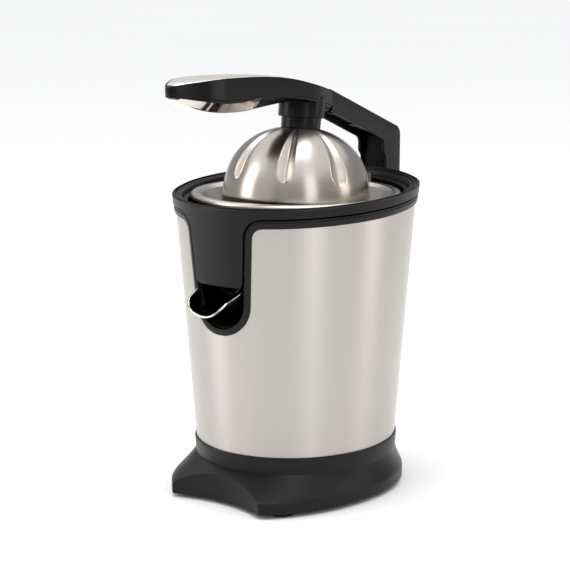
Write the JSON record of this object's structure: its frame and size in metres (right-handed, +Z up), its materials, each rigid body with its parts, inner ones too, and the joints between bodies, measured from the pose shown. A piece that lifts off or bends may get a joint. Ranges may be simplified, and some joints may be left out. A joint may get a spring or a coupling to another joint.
{
  "type": "citrus press juicer",
  "caption": "Upright electric citrus press with a tapered steel body, lever arm, domed press cup, powered reamer, lift-out juice collector and tilting spout.",
  "frame": {"origin": "on the surface it stands on, directly under the reamer axis", "axes": "+Z up along the reamer axis, -Y to the front where the spout and the grip point, +X to the right of someone standing behind it"},
  "size_m": [0.1968, 0.2851, 0.3426],
  "materials": {
    "black_abs": "satin moulded black ABS",
    "gloss_black_abs": "gloss moulded black ABS",
    "brushed_steel": "brushed stainless steel",
    "polished_steel": "polished stainless steel",
    "satin_inlay": "fine satin metal inlay",
    "rubber_black": "matt rubber",
    "zinc_steel": "zinc plated steel",
    "cast_alloy": "die-cast aluminium",
    "nylon_white": "moulded nylon",
    "bronze": "sintered bronze",
    "lamination": "stacked steel laminations",
    "copper_wire": "enamelled copper wire",
    "grey_abs": "satin grey ABS"
  },
  "bodies": {
    "base": {"base_plinth": "black_abs", "base_plate": "black_abs", "rubber_feet": "rubber_black", "base_screws": "zinc_steel", "cord_inlet": "rubber_black", "body_shell": "brushed_steel", "trim_frame": "black_abs", "spout_recess": "black_abs", "hinge_bracket": "black_abs", "hinge_backplate": "zinc_steel", "hinge_pin": "polished_steel", "bracket_screws": "zinc_steel", "gear_case": "grey_abs", "gear_cover": "grey_abs", "lower_bush": "bronze", "idler_pin": "zinc_steel", "motor_upper_bell": "cast_alloy", "motor_lower_bell": "cast_alloy", "motor_stator": "lamination", "stator_windings": "copper_wire", "motor_bolts": "zinc_steel", "motor_bushes": "bronze", "inner_chassis": "black_abs", "upper_bush": "bronze", "shaft_seal": "rubber_black", "chassis_screws": "zinc_steel", "micro_switch": "black_abs", "press_spring": "zinc_steel"},
    "press_carriage": {"thrust_washer": "nylon_white"},
    "drive": {"drive_shaft": "zinc_steel"},
    "reamer": {"reamer_cone": "black_abs"},
    "output_wheel": {"output_gear": "nylon_white"},
    "idler_wheel": {"idler_gear": "nylon_white"},
    "motor_rotor": {"rotor_core": "lamination", "rotor_shaft": "zinc_steel", "rotor_fan": "nylon_white", "motor_pinion": "bronze"},
    "switch_button": {"switch_plunger": "nylon_white"},
    "collector": {"juice_collector": "black_abs"},
    "filter": {"pulp_filter": "brushed_steel", "filter_tab": "grey_abs"},
    "spout": {"spout_scoop": "polished_steel", "spout_pins": "zinc_steel"},
    "arm": {"arm_core": "cast_alloy", "arm_beam": "gloss_black_abs", "arm_front": "gloss_black_abs", "grip_top_insert": "satin_inlay", "grip_belly_insert": "polished_steel", "arm_collar": "gloss_black_abs", "cup_pin": "polished_steel", "arm_screws": "zinc_steel"},
    "cup": {"press_cup": "brushed_steel", "cup_liner": "black_abs", "cup_neck": "black_abs"}
  },
  "joints": [
    {"name": "arm_lift", "type": "hinge", "parent": "base", "child": "arm", "pos_m": [0, 0.1155, 0.222], "axis": [-1, 0, 0], "range_deg": [-3.5, 72]},
    {"name": "cup_tilt", "type": "hinge", "parent": "arm", "child": "cup", "pos_m": [0, 0.00753, 0.30891], "axis": [1, 0, 0], "range_deg": [-3, 3]},
    {"name": "reamer_press", "type": "slide", "parent": "base", "child": "press_carriage", "axis": [0, 0, -1], "range_m": [0, 0.0025], "stiffness_N_per_m": 3000, "springref_m": -0.004, "deforming": ["press_spring"]},
    {"name": "reamer_spin", "type": "hinge", "parent": "press_carriage", "child": "drive", "pos_m": [0, 0, 0.2], "axis": [0, 0, 1], "continuous": true},
    {"name": "reamer_lift", "type": "slide", "parent": "drive", "child": "reamer", "axis": [0, 0, 1], "range_m": [0, 0.012]},
    {"name": "output_gear_spin", "type": "hinge", "parent": "base", "child": "output_wheel", "pos_m": [0, 0, 0.12], "axis": [0, 0, 1], "continuous": true},
    {"name": "idler_spin", "type": "hinge", "parent": "base", "child": "idler_wheel", "pos_m": [0.03876, 0.01411, 0.115], "axis": [0, 0, 1], "continuous": true},
    {"name": "motor_spin", "type": "hinge", "parent": "base", "child": "motor_rotor", "pos_m": [0.01076, 0.01411, 0.07], "axis": [0, 0, 1], "continuous": true},
    {"name": "switch_press", "type": "slide", "parent": "base", "child": "switch_button", "axis": [0, 0, -1], "range_m": [0, 0.0025]},
    {"name": "collector_lift", "type": "slide", "parent": "base", "child": "collector", "axis": [0, -0.0373, 0.9993], "range_m": [0, 0.01]},
    {"name": "filter_lift", "type": "slide", "parent": "collector", "child": "filter", "axis": [0, 0, 1], "range_m": [0, 0.011]},
    {"name": "spout_tilt", "type": "hinge", "parent": "base", "child": "spout", "pos_m": [0, -0.078, 0.1815], "axis": [-1, 0, 0], "range_deg": [0, 13]}
  ],
  "couplings": [
    {"joint": "output_gear_spin", "follows": "reamer_spin", "ratio": 1},
    {"joint": "idler_spin", "follows": "reamer_spin", "ratio": -4.5},
    {"joint": "motor_spin", "follows": "reamer_spin", "ratio": 27},
    {"joint": "switch_press", "follows": "reamer_press", "ratio": 1}
  ]
}
